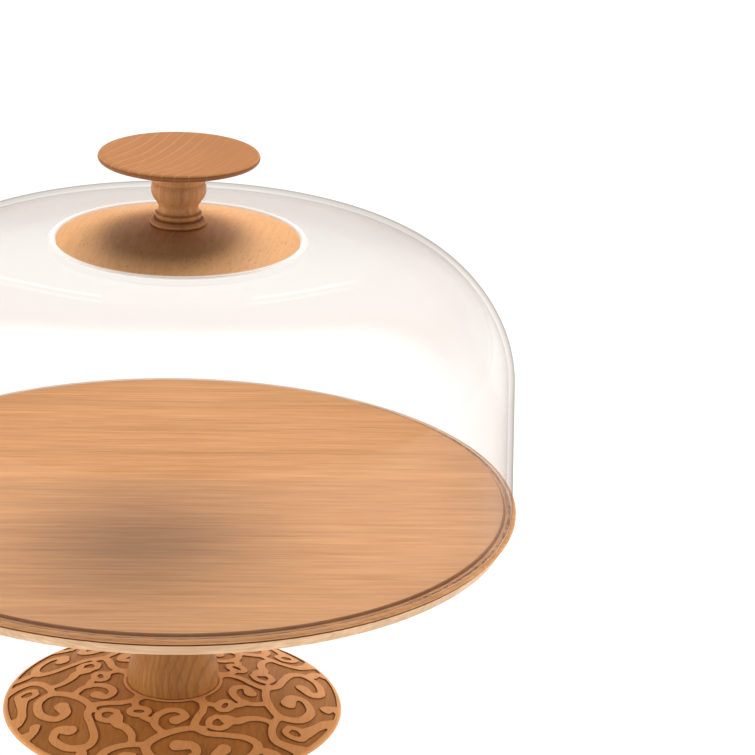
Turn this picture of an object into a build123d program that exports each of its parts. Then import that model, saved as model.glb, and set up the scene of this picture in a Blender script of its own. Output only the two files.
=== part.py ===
from build123d import *
import math
import os

os.makedirs("parts", exist_ok=True)

# Cake stand with a lift-off dome, in millimetres.
# The axis of every turned piece is Z. The origin is the middle of the footprint, on the table.

# Heights up the axis
PAD_H = 1.5
STEM_SEAT_Z = 18.2
PLATE_UNDER_Z = 106.0
LEDGE_Z = 118.6
PLATE_TOP_Z = 120.0
MEDALLION_SEAT_Z = 251.0
NECK_SEAT_Z = 259.4
DISC_SEAT_Z = 285.4
KNOB_TOP_Z = 294.0

# Base
BASE_R = 85.2
BASE_FOOT_R = 80.5
BASE_EDGE_LOW_Z = 4.4
BASE_EDGE_IN = 1.6
BASE_EDGE_BULGE_IN = 0.2
BASE_EDGE_BULGE_DROP = 1.1
BASE_CROWN_Z = 19.8
BASE_CROWN_ARC_R = 264.0
STEM_RECESS_R = 23.2
PAD_R = 9.0
PAD_CIRCLE_R = 66.0
PAD_COUNT = 4

# Stem, and the spigots at its two ends
SPIGOT_R = 15.0
BASE_SPIGOT_H = 5.2
PLATE_SPIGOT_H = 4.0
STEM_FOOT = [(22.4, 18.2), (22.9, 18.9), (22.9, 22.6)]
STEM_SIDE = [(22.9, 22.6), (21.3, 32.6), (18.6, 50.2), (18.2, 66.2), (22.4, 86.2), (35.0, 101.0)]
STEM_SIDE_ENDS = [(-0.05, 0, 1), (1, 0, 0.45)]
STEM_CAP = [(35.0, 101.0), (39.5, 101.8), (42.0, 103.6), (42.0, 106.0)]

# Plate
PLATE_R = 168.0
BEAD_ROOT_R = 167.2
BEAD_LOW_Z = 117.1
GROOVE_R = 165.4
BEVEL_TOP_R = 166.8
BEVEL_TOP_Z = 116.1
BEVEL_LOW_R = 163.8
BEVEL_LOW_Z = 110.6
PLATE_FLAT_R = 150.0
PLATE_CENTRE_R = 162.1
CENTRE_ROUND = 0.8

# Tie bolt through the base and the stem
TIE_R = 4.0
TIE_HEAD_R = 7.0
TIE_HEAD_LOW_Z = 2.2
TIE_HEAD_H = 4.3
TIE_WASHER_R = 12.0
TIE_WASHER_H = 1.5
TIE_TOP_Z = 116.0
COUNTERBORE_R = 13.5
HEX_KEY_ACROSS = 5.0
HEX_KEY_DEPTH = 2.6
PLATE_INSERT_R = 6.5
PLATE_INSERT_LOW_Z = 110.2
PLATE_INSERT_TOP_Z = 116.6

# Dome: one clear wall, drawn on its outer face from the crown down to the rim
WALL = 3.0
SHOULDER_START = (117.35, 245.47)
CROWN_ARCS = [(108.9, 18.78, 3.0), (497.0, 3.0, 0.0)]
SHOULDER_ARCS = [(70.6, 18.78, 64.7), (58.9, 64.7, 88.2)]
RIM_ROUND = 0.8
RECESS_R = 58.75
LIP_LOW_Z = 251.7
LIP_H = 0.9

# Knob assembly
MEDALLION_R = 58.35
MEDALLION_EDGE_Z = 251.6
MEDALLION_ARC_R = 200.0
NECK_TURNS = [
    [(12.3, 259.4), (13.4, 260.5), (12.7, 261.7)],
    [(11.5, 262.6), (10.6, 263.1), (10.7, 263.6)],
    [(10.7, 263.6), (11.35, 264.5), (10.7, 265.4)],
    [(10.2, 265.9), (9.5, 268.1), (10.2, 270.1)],
    [(10.9, 271.2), (13.15, 276.0), (12.3, 280.6)],
    [(12.3, 280.9), (12.8, 283.0), (12.6, 285.4)],
]
DISC_R = 38.47
DISC_UNDER_R = 13.0
DISC_UNDER_MIDDLE = (25.5, 287.4)
DISC_RIM_LOW_Z = 291.0
DISC_RIM_ROUND = 1.1
DISC_DISH_R = 35.5
DISC_DISH_DEPTH = 2.6
DISC_DISH_HALFWAY = 0.8
DISC_DISH_ENDS = [(-1, 0, -0.08), (-1, 0, 0)]
DISC_SPIGOT_R = 7.5
DISC_SPIGOT_H = 3.2

# Knob screw, clamped from inside the dome
SCREW_R = 1.75
SCREW_HEAD_R = 4.2
SCREW_HEAD_H = 2.8
SCREW_KEY_ACROSS = 3.0
SCREW_KEY_DEPTH = 1.6
SCREW_TOP_Z = 270.0
NECK_INSERT_R = 3.6
NECK_INSERT_TOP_Z = 272.0
WASHER_R = 12.0
WASHER_H = 1.2
GASKET_R = 13.5
GASKET_H = 1.0

# Gaps
GLUE_GAP = 0.1
BOLT_GAP = 0.4
SCREW_GAP = 0.15
THREAD_GAP = 0.05


def turned(*edges):
    """Solid turned about Z from the edges of half a section in the XZ plane."""
    return revolve(make_face(Wire(edges)), Axis.Z)


def outline(points):
    """Straight edges that close a section given as (radius, height) points."""
    ring = [(r, 0, z) for r, z in points]
    return [Line(a, b) for a, b in zip(ring, ring[1:] + ring[:1])]


def bulge(low, middle, high):
    """Curved stretch of a turned profile through three (radius, height) points."""
    return ThreePointArc(*[(r, 0, z) for r, z in (low, middle, high)])


def tube(outer_r, inner_r, low_z, top_z):
    """Ring with square edges."""
    corners = [(inner_r, low_z), (outer_r, low_z), (outer_r, top_z), (inner_r, top_z)]
    return turned(*outline(corners))


def rod(radius, low_z, top_z):
    """Round bar on the axis."""
    return Pos(0, 0, low_z) * Cylinder(radius, top_z - low_z, align=(Align.CENTER, Align.CENTER, Align.MIN))


def sphere_drop(radius, sphere_r):
    """How far a spherical crown has fallen at a given distance from the axis."""
    return sphere_r - math.sqrt(sphere_r**2 - radius**2)


def crown_edge(r_in, r_out, apex_z, sphere_r):
    """Section of a spherical crown between two radii."""
    radii = (r_in, (r_in + r_out) / 2, r_out)
    points = [(r, 0, apex_z - sphere_drop(r, sphere_r)) for r in radii]
    return ThreePointArc(*points)


def slope_arc(start, radius, slope_from, slope_to):
    """Arc that leaves a (radius, height) point and turns from one slope to another, with its end point."""

    def at(slope):
        angle, first = math.radians(slope), math.radians(slope_from)
        r = start[0] + radius * (math.sin(angle) - math.sin(first))
        z = start[1] - radius * (math.cos(first) - math.cos(angle))
        return (r, z)

    middle, end = at((slope_from + slope_to) / 2), at(slope_to)
    edge = ThreePointArc((start[0], 0, start[1]), (middle[0], 0, middle[1]), (end[0], 0, end[1]))
    return edge, end


def arc_chain(start, arcs, inset):
    """Tangent arcs of the dome's wall, moved inwards along its normal."""
    edges = []
    point = start
    for radius, slope_from, slope_to in arcs:
        edge, point = slope_arc(point, radius - inset, slope_from, slope_to)
        edges.append(edge)
    return edges, point


def wall_edges(inset):
    """One face of the dome's wall: its edges, its crown end and its rim end."""
    slope = math.radians(SHOULDER_ARCS[0][1])
    start = (SHOULDER_START[0] - inset * math.sin(slope), SHOULDER_START[1] - inset * math.cos(slope))
    crown, crown_end = arc_chain(start, CROWN_ARCS, inset)
    shoulder, wall_top = arc_chain(start, SHOULDER_ARCS, inset)
    lean = math.tan(math.radians(90 - SHOULDER_ARCS[-1][2]))
    rim_end = (wall_top[0] + (wall_top[1] - LEDGE_Z) * lean, LEDGE_Z)
    side = Line((wall_top[0], 0, wall_top[1]), (rim_end[0], 0, rim_end[1]))
    return [*crown, *shoulder, side], crown_end, rim_end


def rounded_rims(body, height, radius):
    """Round the circular edges that lie at one height."""
    rims = body.edges().filter_by(GeomType.CIRCLE).filter_by_position(Axis.Z, height - 1e-3, height + 1e-3)
    return fillet(rims, radius)


def base_disc():
    """Domed foot: low rounded edge, inward bevel beneath, seat for the stem and a counterbore for the bolt."""
    crown_low_r = BASE_R - BASE_EDGE_IN
    crown_low_z = BASE_CROWN_Z - sphere_drop(crown_low_r, BASE_CROWN_ARC_R)
    recess_z = BASE_CROWN_Z - sphere_drop(STEM_RECESS_R, BASE_CROWN_ARC_R)
    socket_z = STEM_SEAT_Z - BASE_SPIGOT_H
    bore_top_z = TIE_HEAD_LOW_Z + TIE_HEAD_H + TIE_WASHER_H
    crown = crown_edge(STEM_RECESS_R, crown_low_r, BASE_CROWN_Z, BASE_CROWN_ARC_R)
    edge_middle = (BASE_R - BASE_EDGE_BULGE_IN, crown_low_z - BASE_EDGE_BULGE_DROP)
    edge = bulge((crown_low_r, crown_low_z), edge_middle, (BASE_R, BASE_EDGE_LOW_Z))
    rest = [
        (BASE_R, BASE_EDGE_LOW_Z),
        (BASE_FOOT_R, PAD_H),
        (COUNTERBORE_R, PAD_H),
        (COUNTERBORE_R, bore_top_z),
        (TIE_R + BOLT_GAP, bore_top_z),
        (TIE_R + BOLT_GAP, socket_z),
        (SPIGOT_R, socket_z),
        (SPIGOT_R, STEM_SEAT_Z),
        (STEM_RECESS_R, STEM_SEAT_Z),
        (STEM_RECESS_R, recess_z),
    ]
    return turned(*outline(rest)[:-1], crown, edge)


def foot_pads():
    """Round felt pads under the base."""
    pad = rod(PAD_R, 0, PAD_H)
    return [Rot(0, 0, 360 / PAD_COUNT * k) * Pos(PAD_CIRCLE_R, 0, 0) * pad for k in range(PAD_COUNT)]


def stem():
    """Turned pedestal: foot ring, long hollow and a flared cap under the plate, bored for the tie bolt."""
    spigot_r = SPIGOT_R - GLUE_GAP
    hole_r = TIE_R + BOLT_GAP
    low_z = STEM_SEAT_Z - BASE_SPIGOT_H + GLUE_GAP
    top_z = PLATE_UNDER_Z + PLATE_SPIGOT_H - GLUE_GAP
    side = Spline(*[(r, 0, z) for r, z in STEM_SIDE], tangents=STEM_SIDE_ENDS)
    foot = [(hole_r, low_z), (spigot_r, low_z), (spigot_r, STEM_SEAT_Z), *STEM_FOOT]
    head = [*STEM_CAP, (spigot_r, PLATE_UNDER_Z), (spigot_r, top_z), (hole_r, top_z)]
    bore = Line((hole_r, 0, top_z), (hole_r, 0, low_z))
    return turned(*outline(foot)[:-1], side, *outline(head)[:-1], bore)


def plate():
    """Round board: raised centre that locates the dome, ledge, rim bead over a groove, bevelled underside."""
    socket_z = PLATE_UNDER_Z + PLATE_SPIGOT_H
    flat_r = PLATE_CENTRE_R - CENTRE_ROUND
    round_low_z = PLATE_TOP_Z - CENTRE_ROUND
    round_middle = (PLATE_CENTRE_R - 0.3 * CENTRE_ROUND, PLATE_TOP_Z - 0.3 * CENTRE_ROUND)
    bead = bulge((BEAD_ROOT_R, BEAD_LOW_Z), (PLATE_R, (BEAD_LOW_Z + LEDGE_Z) / 2), (BEAD_ROOT_R, LEDGE_Z))
    shoulder = bulge((PLATE_CENTRE_R, round_low_z), round_middle, (flat_r, PLATE_TOP_Z))
    ledge = [(BEAD_ROOT_R, LEDGE_Z), (PLATE_CENTRE_R, LEDGE_Z), (PLATE_CENTRE_R, round_low_z)]
    rest = [
        (flat_r, PLATE_TOP_Z),
        (0, PLATE_TOP_Z),
        (0, PLATE_INSERT_TOP_Z),
        (PLATE_INSERT_R + GLUE_GAP, PLATE_INSERT_TOP_Z),
        (PLATE_INSERT_R + GLUE_GAP, socket_z),
        (SPIGOT_R, socket_z),
        (SPIGOT_R, PLATE_UNDER_Z),
        (PLATE_FLAT_R, PLATE_UNDER_Z),
        (BEVEL_LOW_R, BEVEL_LOW_Z),
        (BEVEL_TOP_R, BEVEL_TOP_Z),
        (GROOVE_R, BEVEL_TOP_Z),
        (GROOVE_R, BEAD_LOW_Z),
        (BEAD_ROOT_R, BEAD_LOW_Z),
    ]
    return turned(*outline(ledge)[:-1], shoulder, *outline(rest)[:-1], bead)


def socket_screw(shank_r, head_r, head_low_z, head_h, top_z, key_across, key_depth):
    """Screw that points up, with a hexagon socket in its head and a chamfered tip."""
    body = rod(head_r, head_low_z, head_low_z + head_h) + rod(shank_r, head_low_z + head_h, top_z)
    body = rounded_rims(body, head_low_z, 0.2 * head_h)
    tip = body.edges().filter_by_position(Axis.Z, top_z - 1e-3, top_z + 1e-3)
    body = chamfer(tip, 0.2 * shank_r)
    key = Pos(0, 0, head_low_z) * extrude(RegularPolygon(key_across / 2, 6, major_radius=False), key_depth)
    return body - key


def dome_shell():
    """Clear dome: shallow recess for the medallion inside a moulded bead, round shoulder, flared wall."""
    outer, crown_end, rim_out = wall_edges(0)
    inner, inner_crown_end, rim_in = wall_edges(WALL)
    floor_low_z = MEDALLION_SEAT_Z - WALL
    hole_r = SCREW_R + SCREW_GAP
    bead_top = ((RECESS_R + crown_end[0]) / 2, crown_end[1] + LIP_H)
    bead = bulge((RECESS_R, LIP_LOW_Z), bead_top, crown_end)
    crown = [
        (RECESS_R, LIP_LOW_Z),
        (RECESS_R, MEDALLION_SEAT_Z),
        (hole_r, MEDALLION_SEAT_Z),
        (hole_r, floor_low_z),
        (RECESS_R + 1.0, floor_low_z),
        inner_crown_end,
    ]
    rim = Line((rim_out[0], 0, rim_out[1]), (rim_in[0], 0, rim_in[1]))
    shell = turned(*outer, rim, *inner, *outline(crown)[:-1], bead)
    return rounded_rims(shell, LEDGE_Z, RIM_ROUND)


def medallion():
    """Shallow convex disc in the dome's crown, flat where the knob stands."""
    drop = sphere_drop(MEDALLION_R, MEDALLION_ARC_R)
    apex_z = MEDALLION_EDGE_Z + drop
    seat_r = math.sqrt(MEDALLION_ARC_R**2 - (MEDALLION_ARC_R - (apex_z - NECK_SEAT_Z)) ** 2)
    face = crown_edge(seat_r, MEDALLION_R, apex_z, MEDALLION_ARC_R)
    hole_r = SCREW_R + SCREW_GAP
    rest = [
        (MEDALLION_R, MEDALLION_EDGE_Z),
        (MEDALLION_R, MEDALLION_SEAT_Z),
        (hole_r, MEDALLION_SEAT_Z),
        (hole_r, NECK_SEAT_Z),
        (seat_r, NECK_SEAT_Z),
    ]
    return turned(*outline(rest)[:-1], face)


def knob_neck():
    """Turned baluster between medallion and knob disc: foot torus, ring, waist, bulb and collar."""
    bore_r = NECK_INSERT_R + GLUE_GAP
    spigot_r = DISC_SPIGOT_R - GLUE_GAP
    spigot_top_z = DISC_SEAT_Z + DISC_SPIGOT_H - GLUE_GAP
    edges = [bulge(*turn) for turn in NECK_TURNS]
    for turn, following in zip(NECK_TURNS, NECK_TURNS[1:]):
        if following[0] != turn[-1]:
            edges += outline([turn[-1], following[0]])[:1]
    core = [
        NECK_TURNS[-1][-1],
        (spigot_r, DISC_SEAT_Z),
        (spigot_r, spigot_top_z),
        (0, spigot_top_z),
        (0, NECK_INSERT_TOP_Z),
        (bore_r, NECK_INSERT_TOP_Z),
        (bore_r, NECK_SEAT_Z),
        NECK_TURNS[0][0],
    ]
    return turned(*edges, *outline(core)[:-1])


def knob_disc():
    """Wide mushroom disc with a rounded rim, shallow coned underside and slightly dished top."""
    rim_in_r = DISC_R - DISC_RIM_ROUND
    rim_z = (KNOB_TOP_Z + DISC_RIM_LOW_Z) / 2
    socket_z = DISC_SEAT_Z + DISC_SPIGOT_H
    dish_z = KNOB_TOP_Z - DISC_DISH_DEPTH
    under = bulge((DISC_UNDER_R, DISC_SEAT_Z), DISC_UNDER_MIDDLE, (rim_in_r, DISC_RIM_LOW_Z))
    rim = bulge((rim_in_r, DISC_RIM_LOW_Z), (DISC_R, rim_z), (rim_in_r, KNOB_TOP_Z))
    lip = Line((rim_in_r, 0, KNOB_TOP_Z), (DISC_DISH_R, 0, KNOB_TOP_Z))
    dish = Spline(
        (DISC_DISH_R, 0, KNOB_TOP_Z),
        (DISC_DISH_R / 2, 0, KNOB_TOP_Z - DISC_DISH_HALFWAY * DISC_DISH_DEPTH),
        (0, 0, dish_z),
        tangents=DISC_DISH_ENDS,
    )
    rest = [
        (0, dish_z),
        (0, socket_z),
        (DISC_SPIGOT_R, socket_z),
        (DISC_SPIGOT_R, DISC_SEAT_Z),
        (DISC_UNDER_R, DISC_SEAT_Z),
    ]
    return turned(under, rim, lip, dish, *outline(rest)[:-1])


floor_low_z = MEDALLION_SEAT_Z - WALL
washer_top_z = floor_low_z - GASKET_H
screw_head_top_z = washer_top_z - WASHER_H
tie_head_top_z = TIE_HEAD_LOW_Z + TIE_HEAD_H
tie_screw = (TIE_R, TIE_HEAD_R, TIE_HEAD_LOW_Z, TIE_HEAD_H, TIE_TOP_Z, HEX_KEY_ACROSS, HEX_KEY_DEPTH)
knob_screw_low_z = screw_head_top_z - SCREW_HEAD_H
knob_screw = (SCREW_R, SCREW_HEAD_R, knob_screw_low_z, SCREW_HEAD_H, SCREW_TOP_Z, SCREW_KEY_ACROSS, SCREW_KEY_DEPTH)

nodes = {
    "base_disc": base_disc(),
    "foot_pads": Compound(children=foot_pads()),
    "stem": stem(),
    "plate": plate(),
    "tie_bolt": socket_screw(*tie_screw),
    "tie_washer": tube(TIE_WASHER_R, TIE_R + BOLT_GAP, tie_head_top_z, tie_head_top_z + TIE_WASHER_H),
    "plate_insert": tube(PLATE_INSERT_R, TIE_R + THREAD_GAP, PLATE_INSERT_LOW_Z, PLATE_INSERT_TOP_Z),
    "dome_shell": dome_shell(),
    "medallion": medallion(),
    "knob_neck": knob_neck(),
    "knob_disc": knob_disc(),
    "neck_insert": tube(NECK_INSERT_R, SCREW_R + THREAD_GAP, NECK_SEAT_Z, NECK_INSERT_TOP_Z),
    "knob_screw": socket_screw(*knob_screw),
    "knob_washer": tube(WASHER_R, SCREW_R + SCREW_GAP, screw_head_top_z, washer_top_z),
    "knob_gasket": tube(GASKET_R, SCREW_R + SCREW_GAP, washer_top_z, floor_low_z),
}

for name, shape in nodes.items():
    export_step(shape, f"parts/{name}.step")
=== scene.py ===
import bmesh
import bpy
import math
import numpy as np
from mathutils import Matrix, Vector, geometry


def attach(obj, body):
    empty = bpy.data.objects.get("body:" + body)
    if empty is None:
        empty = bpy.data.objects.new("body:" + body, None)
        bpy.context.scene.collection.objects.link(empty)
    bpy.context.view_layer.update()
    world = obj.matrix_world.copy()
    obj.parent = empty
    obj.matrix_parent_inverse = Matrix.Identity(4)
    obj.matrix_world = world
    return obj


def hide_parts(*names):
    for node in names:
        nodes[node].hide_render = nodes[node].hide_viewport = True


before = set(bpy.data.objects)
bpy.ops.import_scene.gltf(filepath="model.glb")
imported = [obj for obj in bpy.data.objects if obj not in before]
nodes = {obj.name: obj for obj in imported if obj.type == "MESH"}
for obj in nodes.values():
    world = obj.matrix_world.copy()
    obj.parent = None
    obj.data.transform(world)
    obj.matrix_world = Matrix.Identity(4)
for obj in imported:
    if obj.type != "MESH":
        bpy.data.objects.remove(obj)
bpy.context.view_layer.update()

MM = 0.001
BUMP_DEPTH = 0.0004
WELD_R = 1e-6


# ---------------------------------------------------------------- mesh helpers
def finish_mesh(name, verts, faces, body, replaced, sharp=32.0, weld=0.0):
    """A piece from points in millimetres, shaded smooth but for its sharp edges."""
    mesh = bpy.data.meshes.new(name)
    mesh.from_pydata([(x * MM, y * MM, z * MM) for x, y, z in verts], [], faces)
    mesh.validate()
    shell = bmesh.new()
    shell.from_mesh(mesh)
    if weld:
        bmesh.ops.remove_doubles(shell, verts=shell.verts, dist=weld * MM)
    bmesh.ops.recalc_face_normals(shell, faces=shell.faces)
    shell.to_mesh(mesh)
    shell.free()
    mesh.polygons.foreach_set("use_smooth", [True] * len(mesh.polygons))
    mesh.set_sharp_from_angle(angle=math.radians(sharp))
    piece = bpy.data.objects.new(name, mesh)
    bpy.context.scene.collection.objects.link(piece)
    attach(piece, body)
    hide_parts(*replaced)
    return piece


def lathe(profile, segments):
    """Points and faces of a closed profile of (radius, height) turned about Z; radius 0 makes a pole."""
    verts, rows = [], []
    for r, z in profile:
        if r < WELD_R:
            rows.append([len(verts)] * segments)
            verts.append((0.0, 0.0, z))
            continue
        rows.append(list(range(len(verts), len(verts) + segments)))
        for k in range(segments):
            a = 2 * math.pi * k / segments
            verts.append((r * math.cos(a), r * math.sin(a), z))
    faces = []
    for low, high in zip(rows, rows[1:] + rows[:1]):
        for k in range(segments):
            n = (k + 1) % segments
            ring = [low[k], low[n], high[n], high[k]]
            ring = [v for i, v in enumerate(ring) if v != ring[i - 1]]
            if len(set(ring)) > 2:
                faces.append(ring)
    return verts, faces


# ---------------------------------------------------------------- node helpers
class Graph:
    """A short way to write a material's nodes."""

    def __init__(self, name, made=None):
        """Nodes of a new material, or more nodes for one already made."""
        self.mat = made or bpy.data.materials.new(name)
        self.mat.use_nodes = True
        self.tree = self.mat.node_tree
        if not made:
            self.tree.nodes.clear()
            self.out = self.tree.nodes.new("ShaderNodeOutputMaterial")

    def node(self, kind, inputs=None, **props):
        made = self.tree.nodes.new(kind)
        for key, value in props.items():
            setattr(made, key, value)
        for key, value in (inputs or {}).items():
            if isinstance(value, bpy.types.NodeSocket):
                self.tree.links.new(value, made.inputs[key])
            else:
                made.inputs[key].default_value = value
        return made

    def coords(self, scale, rotation=(0, 0, 0), location=(0, 0, 0)):
        """Object coordinates in millimetres, turned and stretched."""
        source = self.node("ShaderNodeTexCoord").outputs["Object"]
        turned = self.node(
            "ShaderNodeMapping",
            {"Vector": source, "Rotation": rotation, "Location": location},
            vector_type="POINT",
        ).outputs["Vector"]
        return self.node(
            "ShaderNodeMapping",
            {"Vector": turned, "Scale": tuple(s / MM for s in scale)},
            vector_type="POINT",
        ).outputs["Vector"]

    def noise(self, vector, scale=1.0, detail=2.0, rough=0.5, distortion=0.0):
        return self.node(
            "ShaderNodeTexNoise",
            {"Vector": vector, "Scale": scale, "Detail": detail, "Roughness": rough, "Distortion": distortion},
        ).outputs["Fac"]

    def ramp(self, fac, stops):
        made = self.node("ShaderNodeValToRGB", {"Fac": fac})
        band = made.color_ramp
        while len(band.elements) < len(stops):
            band.elements.new(0.5)
        for element, (at, colour) in zip(band.elements, stops):
            element.position = at
            element.color = (*colour, 1)
        return made.outputs["Color"]

    def span(self, value, low, high, out_low=0.0, out_high=1.0, smooth=False):
        return self.node(
            "ShaderNodeMapRange",
            {"Value": value, "From Min": low, "From Max": high, "To Min": out_low, "To Max": out_high},
            interpolation_type="SMOOTHSTEP" if smooth else "LINEAR",
        ).outputs["Result"]

    def math(self, operation, a, b=0.0):
        return self.node("ShaderNodeMath", {0: a, 1: b}, operation=operation).outputs[0]

    def mix(self, fac, a, b, blend="MIX"):
        made = self.node("ShaderNodeMix", data_type="RGBA", blend_type=blend)
        for key, value in (("Factor", fac), ("A", a), ("B", b)):
            wanted = "VALUE" if key == "Factor" else "RGBA"
            socket = next(s for s in made.inputs if s.name == key and s.type == wanted)
            if isinstance(value, bpy.types.NodeSocket):
                self.tree.links.new(value, socket)
            else:
                socket.default_value = value if key == "Factor" else (*value, 1)
        return next(s for s in made.outputs if s.type == "RGBA")

    def product(self, first, *others):
        for other in others:
            first = self.math("MULTIPLY", first, other)
        return first

    def distance(self, x, y):
        return self.math("SQRT", self.math("ADD", self.product(x, x), self.product(y, y)))

    def place(self):
        """X, Y and Z in millimetres, and the distance from the turning axis."""
        axes = self.node("ShaderNodeSeparateXYZ", {"Vector": self.coords((1, 1, 1))}).outputs
        return axes["X"], axes["Y"], axes["Z"], self.distance(axes["X"], axes["Y"])

    def between(self, value, low, high):
        return self.product(self.math("GREATER_THAN", value, low), self.math("LESS_THAN", value, high))

    def bump(self, height, strength):
        inputs = {"Height": height, "Strength": strength, "Distance": BUMP_DEPTH}
        return self.node("ShaderNodeBump", inputs).outputs["Normal"]

    def blend(self, fac, first, second):
        """Two shaders mixed, as the material's surface."""
        both = self.node("ShaderNodeMixShader", {0: fac, 1: first.outputs["BSDF"], 2: second.outputs["BSDF"]})
        self.tree.links.new(both.outputs["Shader"], self.out.inputs["Surface"])

    def principled(self, inputs):
        shader = self.node("ShaderNodeBsdfPrincipled", inputs)
        self.tree.links.new(shader.outputs["BSDF"], self.out.inputs["Surface"])


def srgb(r, g, b):
    """Linear colour from 0-255 display values."""

    def one(c):
        c = c / 255
        return c / 12.92 if c <= 0.04045 else ((c + 0.055) / 1.055) ** 2.4

    return (one(r), one(g), one(b))


def scaled(colour, k):
    return tuple(min(1.0, c * k) for c in colour[:3])


def flecks(g, colour, axes, fleck, fleck_dark, fleck_mm, fleck_size):
    """Mask of short ray flecks, and their colour."""
    length, width = fleck_mm
    cells = g.node(
        "ShaderNodeTexVoronoi",
        {"Vector": g.coords((1 / length, 1 / width, 1 / width), *axes), "Scale": 1.0, "Randomness": 1.0},
        feature="F1",
    )
    size = g.node("ShaderNodeSeparateColor", {"Color": cells.outputs["Color"]}).outputs["Red"]
    dash = g.math("LESS_THAN", cells.outputs["Distance"], g.span(size, 0.25, 1.0, 0.0, fleck_size))
    return g.product(dash, fleck), scaled(colour, fleck_dark)


def growth_lines(g, axes, rings, ring_centre, ring_mm, ring_width, wander, wander_mm, fade):
    """Masks of the thin growth lines and of the late wood that follows each of them."""
    x, y, _, _ = g.place()
    wobble = g.noise(g.coords((1 / wander_mm, 1 / wander_mm, 1 / wander_mm), *axes), 1.0, 2.0, 0.5)
    reach = g.distance(g.math("SUBTRACT", x, ring_centre[0]), g.math("SUBTRACT", y, ring_centre[1]))
    phase = g.math("FRACT", g.math("DIVIDE", g.math("ADD", reach, g.product(wobble, wander)), ring_mm))
    line = g.math("ABSOLUTE", g.math("SUBTRACT", phase, 0.5))
    line = g.product(g.span(line, 0.4 * ring_width, ring_width, 1.0, 0.0, True), rings)
    late = g.product(g.span(phase, 0.5, 1.0, 0.5, 0.0), rings * 0.5)
    if fade:
        line = g.product(line, g.span(x, fade[0], fade[1], 1.0, 0.25, True))
    return line, late


def wood(name, colour, along=(1, 0, 0), fibre=0.10, bands=0.12, band_mm=22.0, fleck=0.0, fleck_dark=0.55,
         fleck_mm=(10.0, 2.2), fleck_size=0.22, rings=0.0, ring_colour=(1, 1, 1), ring_centre=(-144.0, 67.0),
         ring_mm=5.7, ring_width=0.07, wander=7.0, wander_mm=50.0, fade=None, gloss=0.42, seed=0.0, bump=0.12):
    """Close-grained hardwood: broad bands, fine fibres, short ray flecks and growth lines, as asked for."""
    g = Graph(name)
    upright = abs(along[2]) > 0.5
    rotation = (0, math.radians(90), 0) if upright else (0, 0, -math.atan2(along[1], along[0]))
    axes = (rotation, (seed * 0.037, seed * 0.053, seed * 0.029))
    broad = g.noise(g.coords((0.0016, 1 / band_mm, 1 / band_mm), *axes), 1.0, 3.0, 0.55, 0.3)
    fine = g.noise(g.coords((0.03, 0.8, 0.8), *axes), 1.0, 3.0, 0.65)
    hair = g.noise(g.coords((0.012, 0.45, 0.45), *axes), 1.0, 4.0, 0.6, 0.15)
    tint = g.mix(g.span(broad, 0.3, 0.7), scaled(colour, 1 - bands), scaled(colour, 1 + bands))
    deep = (1 - fibre * 1.1, 1 - fibre * 1.5, 1 - fibre * 1.8)
    soft = (1 - fibre, 1 - fibre * 1.3, 1 - fibre * 1.5)
    tint = g.mix(1.0, tint, g.mix(g.span(hair, 0.32, 0.72), (1, 1, 1), deep), "MULTIPLY")
    tint = g.mix(1.0, tint, g.mix(g.span(fine, 0.35, 0.75), (1, 1, 1), soft), "MULTIPLY")
    height = g.product(fine, 0.5)
    if fleck:
        dash, dash_colour = flecks(g, colour, axes, fleck, fleck_dark, fleck_mm, fleck_size)
        tint = g.mix(dash, tint, dash_colour)
        height = g.math("SUBTRACT", height, g.product(dash, 0.8))
    if rings:
        line, late = growth_lines(g, axes, rings, ring_centre, ring_mm, ring_width, wander, wander_mm, fade)
        tint = g.mix(late, tint, scaled(colour, 0.84))
        tint = g.mix(line, tint, ring_colour)
    rough = g.span(fine, 0.3, 0.7, gloss, gloss + 0.14)
    normal = g.bump(height, bump)
    g.principled({"Base Color": tint, "Roughness": rough, "Normal": normal, "Specular IOR Level": 0.35})
    return g.mat


def tint_ring(material, r_low, r_high, z_low, z_high, tint):
    """Change the tone of a turned material between two radii and two heights."""
    g = Graph("", material)
    shader = next(n for n in g.tree.nodes if n.type == "BSDF_PRINCIPLED")
    _, _, z, reach = g.place()
    inside = g.product(g.between(reach, r_low, r_high), g.between(z, z_low, z_high))
    source = shader.inputs["Base Color"].links[0].from_socket
    toned = g.mix(inside, source, g.mix(1.0, source, tint, "MULTIPLY"))
    g.tree.links.new(toned, shader.inputs["Base Color"])


# Share of light let through by the outer face of the wall, by how edge on it is seen; partly light lost by a slanting
# face, partly painted shade that greys the outline.
CLEAR_STOPS = [
    (0.00, (0.998, 0.997, 0.995)),
    (0.38, (0.995, 0.991, 0.987)),
    (0.64, (0.971, 0.961, 0.951)),
    (0.78, (0.962, 0.948, 0.934)),
    (0.88, (0.890, 0.862, 0.838)),
    (1.00, (0.640, 0.590, 0.550)),
]
# The same for the inner face, which stays clear where it is seen edge on.
INNER_STOPS = CLEAR_STOPS[:3] + [(1.0, (0.960, 0.946, 0.932))]
# Painted shade over the bend between the crown and the side, on both faces, by the same slant; it stands in for
# dimmer reflections there.
SHOULDER_SHADE_STOPS = [
    (0.35, (1.0, 1.0, 1.0)),
    (0.44, (0.940, 0.920, 0.902)),
    (0.60, (0.958, 0.946, 0.938)),
    (0.72, (0.985, 0.980, 0.975)),
]
# Heights between which the painted shoulder shade fades in and out, and what is left of it on the crown.
SHOULDER_SHADE_FOOT = (208.0, 234.0)
SHOULDER_SHADE_TOP = (251.2, 249.4)
CROWN_SHADE_SHARE = 0.45
# Colour of the gloss by the same slant, and its strength face on and edge on.
SHINE_STOPS = [(0.7, (1, 0.99, 0.975)), (0.88, (0.42, 0.38, 0.35))]
CLEAR_GLOSS, INNER_GLOSS, LEAST_GLOSS = 0.34, 0.16, 0.02
GLOSS_POWER = 5.0


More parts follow.
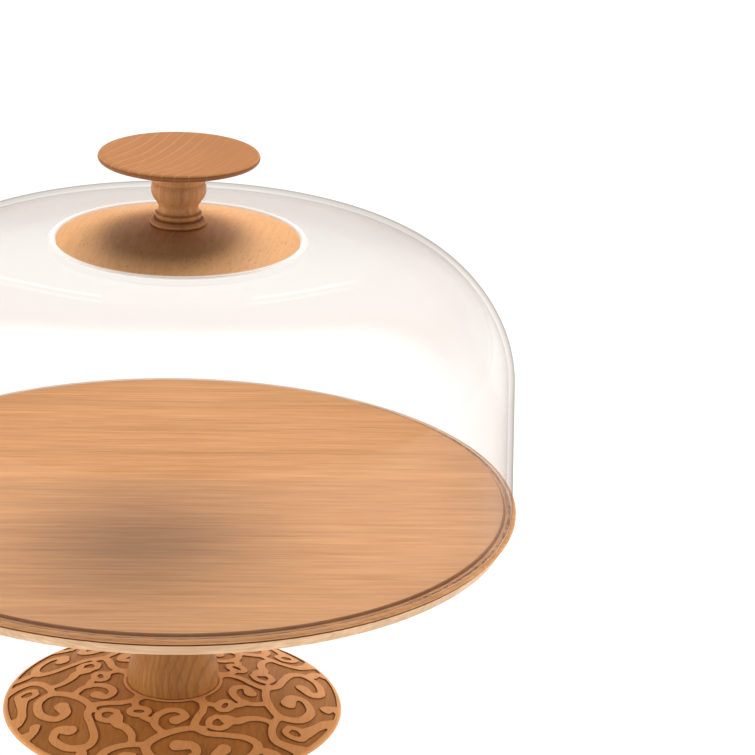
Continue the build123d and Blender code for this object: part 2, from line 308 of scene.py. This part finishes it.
def clear_plastic(name, stops, grazing):
    """Clear acrylic: straight view through, a thin gloss, a warm darkening where the wall is seen edge on, partly
    lost light and partly painted shade, and painted shade over the shoulder.
    """
    g = Graph(name)
    smudge = g.noise(g.coords((0.02, 0.02, 0.02)), 1.0, 2.0, 0.5)
    rough = g.span(smudge, 0.3, 0.7, 0.01, 0.05)
    slant = g.node("ShaderNodeLayerWeight", {"Blend": 0.5}).outputs["Facing"]
    _, _, z, _ = g.place()
    above_foot = g.span(z, *SHOULDER_SHADE_FOOT, 0.0, 1.0, True)
    shoulder_shade = g.product(above_foot, g.span(z, *SHOULDER_SHADE_TOP, CROWN_SHADE_SHARE, 1.0, True))
    tint = g.mix(shoulder_shade, g.ramp(slant, stops), g.ramp(slant, SHOULDER_SHADE_STOPS), "MULTIPLY")
    gloss = g.math("ADD", g.product(g.math("POWER", slant, GLOSS_POWER), grazing), LEAST_GLOSS)
    through = g.node("ShaderNodeBsdfTransparent", {"Color": tint})
    shine = g.node("ShaderNodeBsdfGlossy", {"Color": g.ramp(slant, SHINE_STOPS), "Roughness": rough})
    g.blend(gloss, through, shine)
    return g.mat


def moulded_ring(name, white, line, shade_line_low, shade_line_high):
    """Milky acrylic of the ring moulded round the medallion and of the cut rim, its white partly a painted highlight,
    with a thin line of painted shade at the outer foot of the bead.
    """
    g = Graph(name)
    _, _, _, reach = g.place()
    cloud = g.noise(g.coords((0.3, 0.3, 0.3)), 1.0, 2.0, 0.5)
    milk_and_highlight = g.mix(g.span(cloud, 0.3, 0.7), scaled(white, 0.97), white)
    colour = g.mix(g.between(reach, shade_line_low, shade_line_high), milk_and_highlight, line)
    glass = g.node("ShaderNodeBsdfPrincipled", {"Base Color": colour, "Roughness": 0.2, "IOR": 1.49})
    through = g.node("ShaderNodeBsdfTransparent", {"Color": (0.97, 0.955, 0.94, 1)})
    path = g.node("ShaderNodeLightPath").outputs
    lamp = g.math("MAXIMUM", path["Is Shadow Ray"], path["Is Diffuse Ray"])
    g.blend(g.math("MAXIMUM", lamp, 0.45), glass, through)
    return g.mat


def plain(name, colour, metallic=0.0, rough=0.5, grain=(0.2, 0.2, 0.2), vary=0.08, bump=0.05):
    """Metal, felt or rubber with a little variation."""
    g = Graph(name)
    mottle = g.noise(g.coords(grain), 1.0, 3.0, 0.6)
    tint = g.mix(g.span(mottle, 0.3, 0.7), scaled(colour, 1 - vary), scaled(colour, 1 + vary))
    finish = g.span(mottle, 0.3, 0.7, rough * 0.85, rough * 1.15)
    normal = g.bump(mottle, bump)
    g.principled({"Base Color": tint, "Roughness": finish, "Metallic": metallic, "Normal": normal})
    return g.mat


def dress(node, material):
    """Every slot of a CAD node gets one material."""
    mesh = nodes[node].data
    mesh.materials.clear()
    mesh.materials.append(material)


# ---------------------------------------------------------------- dome
DOME_SEGMENTS = 360
WALL = 3.0
# The crown meets the shoulder at the knee; slopes are in degrees from level.
KNEE_R, KNEE_Z, KNEE_SLOPE = 117.35, 245.47, 18.78
# Arcs as (radius, slope at the far end, steps), inwards over the crown and outwards down the side.
CROWN_ARCS = [(108.9, 3.0, 14), (497.0, 0.0, 8)]
SIDE_ARCS = [(70.6, 64.7, 30), (58.9, 88.2, 18)]
SIDE_LEAN, SIDE_STEPS = 1.8, 8
SIDE_FOOT_Z, RIM_EDGE_Z, RIM_CORNER_Z, RIM_Z = 119.4, 119.1, 118.8, 118.6
RIM_CORNER, RIM_FLAT = 0.22, 0.75
# Flat floor under the medallion, and the bead moulded round it.
SCREW_HOLE_R, FLOOR_R, FLOOR_CORNER_R, FLOOR_Z, UNDER_R = 1.9, 57.5, 58.6, 251.0, 59.9
BEAD_R, BEAD_FOOT_Z, BEAD_HEIGHT, BEAD_POINTS = 58.75, 251.75, 0.9, 15
BEAD_ROUND, BEAD_END = 0.8, 0.05
# Where the moulded ring and the cut rim lie, and the middle that tells inner faces from outer ones.
RING_FROM_R, RING_TO_R, RING_FROM_Z = 58.7, 62.2, 251.1
RIM_FROM_R, RIM_TO_Z = 164.0, 119.2
DOME_HEART = Vector((0.0, 0.0, 0.15))


def arc_points(start, radius, slope_from, slope_to, steps):
    points = []
    f = math.radians(slope_from)
    for k in range(1, steps + 1):
        s = math.radians(slope_from + (slope_to - slope_from) * k / steps)
        out = radius * (math.sin(s) - math.sin(f))
        down = radius * (math.cos(f) - math.cos(s))
        points.append((start[0] + out, start[1] - down))
    return points


def arc_chain(start, arcs, inset):
    """Points of arcs that follow one another from the knee."""
    points, slope = [start], KNEE_SLOPE
    for radius, slope_to, steps in arcs:
        points += arc_points(points[-1], radius - inset, slope, slope_to, steps)
        slope = slope_to
    return points[1:]


def dome_face(inset):
    """One face of the dome's wall from its crown out to its rim."""
    s = math.radians(KNEE_SLOPE)
    start = (KNEE_R - inset * math.sin(s), KNEE_Z - inset * math.cos(s))
    crown = arc_chain(start, CROWN_ARCS, inset)
    side = arc_chain(start, SIDE_ARCS, inset)
    lean = math.tan(math.radians(SIDE_LEAN))
    top = side[-1]
    for k in range(1, SIDE_STEPS + 1):
        z = top[1] + (SIDE_FOOT_Z - top[1]) * k / SIDE_STEPS
        side.append((top[0] + (top[1] - z) * lean, z))
    return crown[::-1] + [start] + side


def dome_rim(outer_r, inner_r):
    """Cut rim with rounded corners, from outside to inside."""
    return [
        (outer_r, RIM_EDGE_Z),
        (outer_r - RIM_CORNER, RIM_CORNER_Z),
        (outer_r - RIM_FLAT, RIM_Z),
        (inner_r + RIM_FLAT, RIM_Z),
        (inner_r + RIM_CORNER, RIM_CORNER_Z),
        (inner_r, RIM_EDGE_Z),
    ]


def dome_bead(crown_r, crown_z):
    """Bead between the medallion's floor and the crown."""
    half, middle = (crown_r - BEAD_R) / 2, (crown_r + BEAD_R) / 2
    rise = crown_z + BEAD_HEIGHT - BEAD_FOOT_Z
    return [(middle - half * math.cos(t), BEAD_FOOT_Z + rise * math.sin(t) ** BEAD_ROUND)
            for t in np.linspace(BEAD_END, math.pi - BEAD_END, BEAD_POINTS)]


def dome_piece():
    outer, inner = dome_face(0.0), dome_face(WALL)
    floor = [(SCREW_HOLE_R, FLOOR_Z), (FLOOR_R, FLOOR_Z), (FLOOR_CORNER_R, FLOOR_Z + 0.04), (BEAD_R, FLOOR_Z + 0.2)]
    under = [(UNDER_R, FLOOR_Z - WALL), (SCREW_HOLE_R, FLOOR_Z - WALL)]
    rim = dome_rim(outer[-1][0], inner[-1][0])
    profile = floor + dome_bead(*outer[0]) + outer + rim + inner[::-1] + under
    verts, faces = lathe(profile, DOME_SEGMENTS)
    return finish_mesh("dome_clear", verts, faces, "dome", ["dome_shell"], 40.0)


def dome_look(face):
    """Index of the material that a face of the dome takes."""
    reach = math.hypot(face.center.x, face.center.y) / MM
    height = face.center.z / MM
    on_ring = RING_FROM_R < reach < RING_TO_R and height > RING_FROM_Z
    if on_ring or (reach > RIM_FROM_R and height < RIM_TO_Z):
        return 1
    return 2 if face.normal.dot(face.center - DOME_HEART) < 0 else 0


dome = dome_piece()
for material in (
    clear_plastic("clear_acrylic", CLEAR_STOPS, CLEAR_GLOSS),
    # The ring's white is partly a painted highlight; its tinted line is painted shade.
    moulded_ring("ring_acrylic", (0.93, 0.915, 0.9), (0.80, 0.68, 0.62), 61.2, 61.7),
    clear_plastic("clear_acrylic_inner", INNER_STOPS, INNER_GLOSS),
):
    dome.data.materials.append(material)
for face in dome.data.polygons:
    face.material_index = dome_look(face)

# ---------------------------------------------------------------- carved base
SECTORS, SPREAD = 5, 1.2
RING_R, RIM_R = 24.0, 83.6
CARVE_DEPTH = 0.55
CROWN_Z, CROWN_R = 19.8, 264.0
GRID, GRID_REACH, FILL_REACH, CURVE_MARGIN = 0.42, 86.0, 84, 8
TURNS = 360
# Bands round the pedestal and along the rim, the fillets of the carving, and the depth of its hand-cut waver.
PEDESTAL_BAND_R, RIM_BAND_R = 25.0, 82.9
FILLET, SOFT_FILLET, WAVER = 1.6, 1.2, 1.5
# Distances from the scrollwork of its edge, of the foot of its side and of the end of the darker line along that
# foot.
LEVELS = (0.0, 0.12, 0.34)
NEAR_LEVEL = 0.02
FILL_STEP, FILL_CLEAR, FILL_EDGE = 2.1, 0.6, 0.8
# How far the middle of a face may lie outside the two rings that bound the carving.
INNER_SLIVER, OUTER_SLIVER = 0.0005, 0.05
# Turned outline under the carving, from the rim round to the pedestal's seat.
EDGE_DROPS = [(84.45, 0.45), (84.95, 1.05)]
UNDERSIDE = [(85.2, 4.4), (80.5, 1.5), (13.5, 1.5), (13.5, 8.0), (4.4, 8.0), (4.4, 13.0), (15.0, 13.0), (15.0, 18.2),
             (23.2, 18.2)]
SEAT_R, SEAT_TOP_R, SEAT_DROP = 23.2, 23.4, 0.15
# One fifth of the carving: bands as (sixtieths of a sector, radius, half width) knots.
BANDS = [
    # long stem from the pedestal ring, swinging out and curling under the rim
    [(4, 24, 3.4), (5, 29, 2.0), (10, 35, 1.9), (16, 40, 2.0), (19, 46, 2.1), (15, 53, 2.0), (7, 58, 1.9),
     (1, 64, 2.1), (0, 71, 2.3), (5, 76.5, 2.2), (12, 76.5, 2.1), (15, 71, 2.6), (11.5, 67, 3.6)],
    # scroll that leaves it to the right and rolls up round its own bulb
    [(16, 49, 1.9), (22, 47.5, 1.9), (30, 49, 2.1), (37, 54, 2.2), (40, 61, 2.3), (36, 68.5, 2.3), (28, 71, 2.2),
     (21.5, 67, 2.2), (22, 61, 2.6), (28, 59.5, 3.7)],
    # counter scroll towards the pedestal
    [(34, 51, 1.7), (40, 45, 1.8), (41, 38, 2.0), (35, 32.5, 2.0), (26, 32.5, 2.0), (23, 37.5, 2.2), (29, 40.5, 3.2)],
    # bridge to the next stem
    [(41, 42, 1.7), (47, 40.5, 1.8), (53, 37, 1.8), (59, 33, 1.8), (64, 29, 1.8)],
    # tendril out to the rim
    [(40, 60, 1.8), (46, 61.5, 1.8), (51, 66, 2.0), (53, 72, 2.4), (51, 79, 3.0), (49, 84, 4.4)],
    # hook off the tendril, ending in a bulb
    [(46, 61, 1.7), (48, 55, 1.9), (53, 51, 2.2), (58, 50, 2.7), (61.5, 46.5, 3.6)],
    # tongues growing in from the rim
    [(29, 84, 4.4), (31, 79.5, 2.6), (35.5, 77, 2.2), (41, 75.5, 3.2)],
    [(20, 84, 3.6), (20.5, 80, 2.4), (22.5, 77.5, 2.7)],
    [(57.5, 84, 3.4), (57, 80, 2.3), (59, 76.5, 2.9)],
]
# Closed bands round a sunk bean, as the same knots.
LOOPS = [
    [(5, 42, 1.6), (10, 43.5, 1.7), (12, 48, 1.7), (8, 51.5, 1.8), (3, 50, 1.8), (2, 45.5, 1.6)],
    [(43, 68, 1.6), (46.5, 69, 1.6), (47, 73, 1.6), (45, 77, 1.8), (42, 76, 1.7), (41.5, 71.5, 1.6)],
]
# Ovals with a sunk middle: place round, radius, half length, half width, tilt in degrees, band.
EYES = [(53.5, 36.5, 6.4, 4.9, 20, 1.8)]


def knot_points(knots, turn):
    """Knots as x, y and half width in one sector."""
    angles = [math.radians(a * SPREAD) + turn for a, _, _ in knots]
    return np.array([(r * math.sin(t), r * math.cos(t), w) for t, (_, r, w) in zip(angles, knots)])


def spline(points, steps=7):
    """Catmull-Rom curve through knots."""
    q = np.vstack([2 * points[0] - points[1], points, 2 * points[-1] - points[-2]])
    out = []
    for a, b, c, d in zip(q, q[1:], q[2:], q[3:]):
        for t in np.linspace(0, 1, steps, endpoint=False):
            square = (2 * a - 5 * b + 4 * c - d) * t**2
            cube = (3 * b - a - 3 * c + d) * t**3
            out.append(0.5 * (2 * b + (c - a) * t + square + cube))
    return np.array(out + [q[-2]])


def band_distance(x, y, line):
    """Signed distance to a band of changing width."""
    best = np.full(x.shape, 99.0)
    for a, b in zip(line[:-1], line[1:]):
        dx, dy = b[0] - a[0], b[1] - a[1]
        t = np.clip(((x - a[0]) * dx + (y - a[1]) * dy) / (dx * dx + dy * dy + 1e-9), 0, 1)
        best = np.minimum(best, np.hypot(x - a[0] - t * dx, y - a[1] - t * dy) - (a[2] + t * (b[2] - a[2])))
    return best


def join(a, b, k):
    """Union of two distances with a fillet in the corner."""
    h = np.clip(0.5 + 0.5 * (b - a) / k, 0, 1)
    return b * (1 - h) + a * h - k * h * (1 - h)


def carving():
    """Grid line and signed distance to the raised scrollwork, negative on it."""
    axis = np.arange(-GRID_REACH, GRID_REACH + GRID, GRID)
    x, y = np.meshgrid(axis, axis)
    r = np.hypot(x, y)
    d = join(r - PEDESTAL_BAND_R, RIM_BAND_R - r, SOFT_FILLET)
    wx = x + WAVER * np.sin(y / 15 + 0.7) * (r / 85)
    wy = y + WAVER * np.sin(x / 17 + 2.1) * (r / 85)
    holes = np.full(x.shape, 99.0)
    for s in range(SECTORS):
        turn = 2 * math.pi * s / SECTORS
        for knots in BANDS + LOOPS:
            points = knot_points(knots, turn)
            if knots in LOOPS:
                points = np.vstack([points, points[:1]])
            line = spline(points)
            low, high = line[:, :2].min(0) - CURVE_MARGIN, line[:, :2].max(0) + CURVE_MARGIN
            near = np.ix_((axis > low[1]) & (axis < high[1]), (axis > low[0]) & (axis < high[0]))
            d[near] = join(d[near], band_distance(wx[near], wy[near], line), FILLET)
        for place, radius, p, q, tilt, band in EYES:
            t = math.radians(place * SPREAD) + turn
            u = math.radians(tilt) - t
            dx, dy = wx - radius * math.sin(t), wy - radius * math.cos(t)
            lx, ly = dx * math.cos(u) + dy * math.sin(u), dy * math.cos(u) - dx * math.sin(u)
            k = np.hypot(lx / p, ly / q)
            oval = (k - 1) * k / np.maximum(np.hypot(lx / p**2, ly / q**2), 1e-6)
            d = join(d, oval, SOFT_FILLET)
            holes = np.minimum(holes, oval + 2 * band)
    return axis, np.maximum(d, -holes)


def contour(axis, d, level, first):
    """Points on one level of the distance grid, and the edges between them counted from first."""
    f = d - level
    f[np.abs(f) < 0.01] = 0.01
    across = (f[:, :-1] < 0) != (f[:, 1:] < 0)
    up = (f[:-1] < 0) != (f[1:] < 0)
    points = []
    ids_across = np.full(across.shape, -1)
    ids_up = np.full(up.shape, -1)
    i, j = np.nonzero(across)
    t = f[i, j] / (f[i, j] - f[i, j + 1])
    ids_across[i, j] = first + np.arange(len(i))
    points.append(np.stack([axis[j] + t * GRID, axis[i]], 1))
    n = len(i)
    i, j = np.nonzero(up)
    t = f[i, j] / (f[i, j] - f[i + 1, j])
    ids_up[i, j] = first + n + np.arange(len(i))
    points.append(np.stack([axis[j], axis[i] + t * GRID], 1))
    sides = np.stack([ids_across[:-1], ids_up[:, 1:], ids_across[1:], ids_up[:, :-1]], 2)
    count = (sides >= 0).sum(2)
    edges = []
    for i, j in zip(*np.nonzero(count == 2)):
        edges.append(tuple(int(k) for k in sides[i, j] if k >= 0))
    for i, j in zip(*np.nonzero(count == 4)):
        a, b, c, e = (int(k) for k in sides[i, j])
        middle = (f[i, j] + f[i, j + 1] + f[i + 1, j] + f[i + 1, j + 1]) < 0
        edges += [(a, b), (c, e)] if middle == (f[i, j] < 0) else [(a, e), (b, c)]
    return np.vstack(points), edges


def crown_height(r):
    return CROWN_Z - CROWN_R + np.sqrt(CROWN_R**2 - r**2)


def carved_base():
    """The base with its scrollwork standing on a sunk ground, and a darker line along its foot."""
    axis, d = carving()
    points = np.zeros((0, 2))
    edges = []
    for radius in (RING_R, RIM_R):
        a = 2 * np.pi * np.arange(TURNS) / TURNS
        n = len(points)
        points = np.vstack([points, np.stack([radius * np.cos(a), radius * np.sin(a)], 1)])
        edges += [(n + k, n + (k + 1) % TURNS) for k in range(TURNS)]
    for level in LEVELS:
        more, links = contour(axis, d.copy(), level, len(points))
        points = np.vstack([points, more])
        edges += links
    fill = np.arange(-FILL_REACH, FILL_REACH, FILL_STEP)
    gx, gy = np.meshgrid(fill, fill)
    gx = gx + (np.arange(gx.shape[0]) % 2)[:, None] * (FILL_STEP / 2)
    near = sample(axis, d, gx, gy)
    gr = np.hypot(gx, gy)
    keep = (gr > RING_R + FILL_EDGE) & (gr < RIM_R - FILL_EDGE)
    keep &= (near < -FILL_CLEAR) | (near > LEVELS[-1] + FILL_CLEAR)
    points = np.vstack([points, np.stack([gx[keep], gy[keep]], 1)])
    made = geometry.delaunay_2d_cdt([Vector(p) for p in points], edges, [], 0, 1e-4)
    flat = np.array([tuple(v) for v in made[0]])
    faces = np.array(made[2])
    middle = flat[faces].mean(1)
    radius = np.hypot(middle[:, 0], middle[:, 1])
    inside = (radius > RING_R - INNER_SLIVER) & (radius < RIM_R + OUTER_SLIVER)
    faces, middle = faces[inside], middle[inside]
    at_face = sample(axis, d, middle[:, 0], middle[:, 1])
    at_point = sample(axis, d, flat[:, 0], flat[:, 1])
    sunk = CARVE_DEPTH * (at_point > 0.5 * (LEVELS[0] + LEVELS[1]))
    height = crown_height(np.hypot(flat[:, 0], flat[:, 1])) - sunk
    verts = [(x, y, z) for (x, y), z in zip(flat, height)]
    # Faces near the foot of the carving's side take the darker line.
    foot_line = np.where(at_face < LEVELS[2] - NEAR_LEVEL, 1, 2)
    looks = np.where(at_face < LEVELS[0] + NEAR_LEVEL, 0, foot_line)

    crown_low = crown_height(RIM_R)
    edge = [(r, crown_low - drop) for r, drop in EDGE_DROPS]
    seat = [(SEAT_R, crown_height(SEAT_R) - SEAT_DROP), (SEAT_TOP_R, crown_height(SEAT_TOP_R)),
            (RING_R, crown_height(RING_R))]
    round_verts, round_faces = lathe([(RIM_R, crown_low), *edge, *UNDERSIDE, *seat], TURNS)
    round_faces = round_faces[:-TURNS]
    n = len(verts)
    verts += round_verts
    all_faces = [tuple(int(k) for k in f) for f in faces] + [tuple(k + n for k in f) for f in round_faces]
    piece = finish_mesh("base_carved", verts, all_faces, "stand", ["base_disc"], weld=0.002)
    return piece, list(looks) + [0] * len(round_faces)


def sample(axis, d, x, y):
    """Distance at any place, from the grid."""
    u = np.clip((x - axis[0]) / GRID, 0, len(axis) - 1.001)
    v = np.clip((y - axis[0]) / GRID, 0, len(axis) - 1.001)
    i, j = v.astype(int), u.astype(int)
    s, t = v - i, u - j
    return (d[i, j] * (1 - s) * (1 - t) + d[i + 1, j] * s * (1 - t) + d[i, j + 1] * (1 - s) * t
            + d[i + 1, j + 1] * s * t)


# ---------------------------------------------------------------- materials on the turned pieces
PLATE = srgb(192, 143, 96)
KNOB = srgb(208, 158, 110)
DISC = srgb(176, 119, 72)
DISC_LINE = srgb(200, 152, 110)
NECK = srgb(176, 126, 82)
STEM = srgb(160, 109, 56)
RAISED = srgb(204, 148, 94)
GROUND = srgb(166, 114, 60)
# Colour of the darker line along the foot of the carving's side.
FOOT_LINE = srgb(115, 72, 36)
UPRIGHT = (0, 0, 1)
BASE_GRAIN = (0.1, 1, 0)
# Tones between two radii and two heights: painted shade in the plate's groove and on its bead, a paler tone on its
# bevel, painted shade on the disc's rim (partly its darker end grain) and underside, and painted shade in the two
# lines turned at the neck's foot.
PLATE_SHADE_AND_TONE = [
    (161.3, 162.7, 118.0, 119.95, (0.45, 0.36, 0.28)),
    (165.0, 167.1, 116.08, 117.4, (0.85, 0.78, 0.7)),
    (150.0, 167.0, 110.0, 116.05, (1.3, 1.7, 2.4)),
]
# Painted shade on the disc's lower rim, partly darker end grain, and on its underside.
DISC_SHADE_AND_END_GRAIN = [
    (37.0, 39.0, 290.0, 293.3, (0.48, 0.4, 0.32)),
    (12.0, 37.6, 285.0, 290.95, (0.5, 0.45, 0.42)),
]
# Painted shade in the two turned lines at the neck's foot.
NECK_PAINTED_SHADE = [
    (8.0, 13.0, 262.2, 263.4, (0.6, 0.5, 0.42)),
    (8.0, 13.0, 265.3, 266.1, (0.75, 0.66, 0.58)),
]

plate_wood = wood("plate_wood", PLATE, (1, 0, 0), fibre=0.22, bands=0.10, band_mm=12.0, seed=1.0)
medallion_wood = wood("medallion_wood", KNOB, (0.16, 1, 0), fibre=0.08, bands=0.04, fleck=0.6, fleck_mm=(6.0, 1.0),
                      fleck_size=0.36, seed=2.0)
disc_wood = wood("knob_disc_wood", DISC, (0.42, 0.9, 0), fibre=0.06, bands=0.04, rings=0.7, ring_colour=DISC_LINE,
                 ring_width=0.06, ring_centre=(-380.0, 185.0), wander=5.0, fade=(-5.0, 25.0), seed=3.0)
neck_wood = wood("knob_neck_wood", NECK, UPRIGHT, fibre=0.2, bands=0.10, band_mm=7.0, fleck=0.6,
                 fleck_mm=(4.0, 1.3), fleck_size=0.34, seed=4.0)
stem_wood = wood("stem_wood", STEM, UPRIGHT, fibre=0.2, bands=0.10, band_mm=7.0, fleck=0.6, fleck_mm=(6.0, 1.5),
                 fleck_size=0.34, rings=0.7, ring_colour=scaled(STEM, 0.6), ring_centre=(-70.0, 40.0), ring_mm=2.6,
                 ring_width=0.2, wander=9.0, wander_mm=30.0, seed=5.0)
for node, material, tones in (
    ("plate", plate_wood, PLATE_SHADE_AND_TONE),
    ("medallion", medallion_wood, []),
    ("knob_disc", disc_wood, DISC_SHADE_AND_END_GRAIN),
    ("knob_neck", neck_wood, NECK_PAINTED_SHADE),
    ("stem", stem_wood, []),
):
    # These tones are mostly painted shade in grooves, turned lines and under the disc.
    for tone in tones:
        tint_ring(material, *tone)
    dress(node, material)
base, looks = carved_base()
for material in (
    wood("base_raised", RAISED, BASE_GRAIN, fibre=0.08, bands=0.05, fleck=0.5, fleck_mm=(7.0, 1.8), seed=6.0),
    wood("base_foot_line", FOOT_LINE, BASE_GRAIN, fibre=0.10, bands=0.10, seed=6.0),
    wood("base_ground", GROUND, BASE_GRAIN, fibre=0.16, bands=0.12, fleck=0.5, fleck_mm=(7.0, 1.6), seed=7.0),
):
    base.data.materials.append(material)
base.data.polygons.foreach_set("material_index", looks)
steel = plain("zinc_steel", (0.62, 0.63, 0.65), 1.0, 0.3, (2.0, 2.0, 0.2))
brass = plain("turned_brass", (0.72, 0.52, 0.24), 1.0, 0.3, (0.4, 0.4, 3.0))
for node in ("tie_bolt", "tie_washer", "knob_screw", "knob_washer"):
    dress(node, steel)
for node in ("plate_insert", "neck_insert"):
    dress(node, brass)
dress("foot_pads", plain("felt", (0.20, 0.15, 0.11), 0.0, 0.95, (1.2, 1.2, 1.2), 0.25, 0.6))
dress("knob_gasket", plain("silicone", (0.75, 0.74, 0.72), 0.0, 0.4, (0.3, 0.3, 0.3), 0.04))

# ---------------------------------------------------------------- floor, light and camera
FLOOR_HALF, FLOOR_DROP = 12.0, -2e-4
# The floor's own light, from its near level to its full level between two places along Y, in metres.
GLOW_NEAR, GLOW_FULL, GLOW_NEAR_Y, GLOW_FULL_Y = 0.65, 1.0, -1.0, -0.3
floor_mesh = bpy.data.meshes.new("floor")
corners = [(x * FLOOR_HALF, y * FLOOR_HALF, FLOOR_DROP) for x, y in ((-1, -1), (1, -1), (1, 1), (-1, 1))]
floor_mesh.from_pydata(corners, [], [(0, 1, 2, 3)])
floor = bpy.data.objects.new("floor", floor_mesh)
bpy.context.scene.collection.objects.link(floor)
fg = Graph("floor_white")
floor_place = fg.node("ShaderNodeSeparateXYZ", {"Vector": fg.node("ShaderNodeTexCoord").outputs["Object"]})
glow_span = fg.span(floor_place.outputs["Y"], GLOW_NEAR_Y, GLOW_FULL_Y, GLOW_NEAR, GLOW_FULL, True)
fg.principled({"Base Color": (0.06, 0.06, 0.06, 1), "Roughness": 0.9, "Specular IOR Level": 0.0,
               "Emission Color": (1, 1, 1, 1), "Emission Strength": glow_span})
floor_mesh.materials.append(fg.mat)

SKY, OVERHEAD, STRIP = 0.2, 0.24, 2.2
WARM_WHITE = (1.0, 0.98, 0.955)
KEY_WHITE = (1.0, 0.985, 0.965)
# Edges of the bright strip and of the overhead light, as parts of the view direction.
STRIP_FOOT, STRIP_HEAD = (0.43, 0.45), (0.475, 0.455)
STRIP_DEPTH, STRIP_SIDE = (0.6, 0.8), (0.2, 0.1)
OVERHEAD_FROM = (0.76, 0.9)
world = bpy.data.worlds.new("studio")
bpy.context.scene.world = world
world.use_nodes = True
sky = world.node_tree
sky.nodes["Background"].inputs["Color"].default_value = (*WARM_WHITE, 1)
apart = sky.nodes.new("ShaderNodeSeparateXYZ")
sky.links.new(sky.nodes.new("ShaderNodeTexCoord").outputs["Generated"], apart.inputs[0])


def sky_span(socket, low, high):
    """Smooth step of one part of the view direction."""
    made = sky.nodes.new("ShaderNodeMapRange")
    made.interpolation_type = "SMOOTHSTEP"
    sky.links.new(socket, made.inputs["Value"])
    made.inputs["From Min"].default_value, made.inputs["From Max"].default_value = low, high
    return made.outputs["Result"]


def sky_math(operation, a, b):
    made = sky.nodes.new("ShaderNodeMath")
    made.operation = operation
    for socket, value in zip(made.inputs, (a, b)):
        if isinstance(value, float):
            socket.default_value = value
        else:
            sky.links.new(value, socket)
    return made.outputs[0]


side, depth, rise = apart.outputs
strip = sky_math("MULTIPLY", sky_span(rise, *STRIP_FOOT), sky_span(rise, *STRIP_HEAD))
ends = sky_math("MULTIPLY", sky_span(depth, *STRIP_DEPTH), sky_span(side, *STRIP_SIDE))
strip = sky_math("MULTIPLY", strip, ends)
glow = sky_math("ADD", SKY, sky_math("MULTIPLY", strip, STRIP))
glow = sky_math("ADD", glow, sky_math("MULTIPLY", sky_span(rise, *OVERHEAD_FROM), OVERHEAD - SKY))
sky.links.new(glow, sky.nodes["Background"].inputs["Strength"])


def add_lamp(name, kind, strength, colour):
    """Lamp that lights the piece without showing as a patch on the clear dome."""
    lamp = bpy.data.lights.new(name, kind)
    lamp.energy = strength
    lamp.color = colour
    made = bpy.data.objects.new(name, lamp)
    made.visible_glossy = False
    made.visible_transmission = False
    made.visible_camera = False
    bpy.context.scene.collection.objects.link(made)
    return made


def sun(name, toward, strength, spread):
    made = add_lamp(name, "SUN", strength, KEY_WHITE)
    made.data.angle = math.radians(spread)
    made.rotation_euler = Vector(toward).to_track_quat("Z", "Y").to_euler()


PANEL_HEIGHT = 0.14


def low_panel(name, place, strength, width):
    """Long low panel that lights the sides of the piece from below the top of the dome."""
    made = add_lamp(name, "AREA", strength, WARM_WHITE)
    made.data.shape = "RECTANGLE"
    made.data.size, made.data.size_y = width, PANEL_HEIGHT
    made.location = place
    toward = Vector((-place[0], -place[1], 0.0))
    made.rotation_euler = toward.to_track_quat("-Z", "Y").to_euler()


sun("key_high", (0.1, 0.38, 1.0), 2.4, 34.0)
sun("key_back", (0.25, 0.88, 1.0), 2.5, 42.0)
low_panel("panel_back", (0.1, 0.8, 0.2), 5.0, 0.8)
low_panel("panel_right", (0.7, 0.2, 0.2), 4.5, 0.6)
low_panel("panel_left", (-0.7, 0.0, 0.2), 5.5, 0.6)
low_panel("panel_front", (0.2, -0.8, 0.17), 3.2, 0.9)

scene = bpy.context.scene
scene.view_settings.view_transform = "Standard"
scene.view_settings.look = "None"

PITCH, YAW, ROLL = 0.353068, 0.0703543, 0.0360496
CAMERA_PLACE = (0.0, -1.386849, 0.694537)
SENSOR_WIDTH, FRAME_WIDTH, FOCAL = 36.0, 755, 3039.289
ahead = Vector((math.sin(YAW) * math.cos(PITCH), math.cos(YAW) * math.cos(PITCH), -math.sin(PITCH)))
right = Vector((math.cos(YAW), -math.sin(YAW), 0))
above = right.cross(ahead)
rolled_right = math.cos(ROLL) * right + math.sin(ROLL) * above
rolled_above = -math.sin(ROLL) * right + math.cos(ROLL) * above
camera = bpy.data.objects.new("camera", bpy.data.cameras.new("camera"))
camera.data.sensor_width = SENSOR_WIDTH
camera.data.lens = FOCAL / FRAME_WIDTH * SENSOR_WIDTH
camera.data.clip_start, camera.data.clip_end = 0.05, 50.0
turned = Matrix((rolled_right, rolled_above, -ahead)).transposed().to_4x4()
camera.matrix_world = Matrix.Translation(CAMERA_PLACE) @ turned
scene.collection.objects.link(camera)
scene.camera = camera
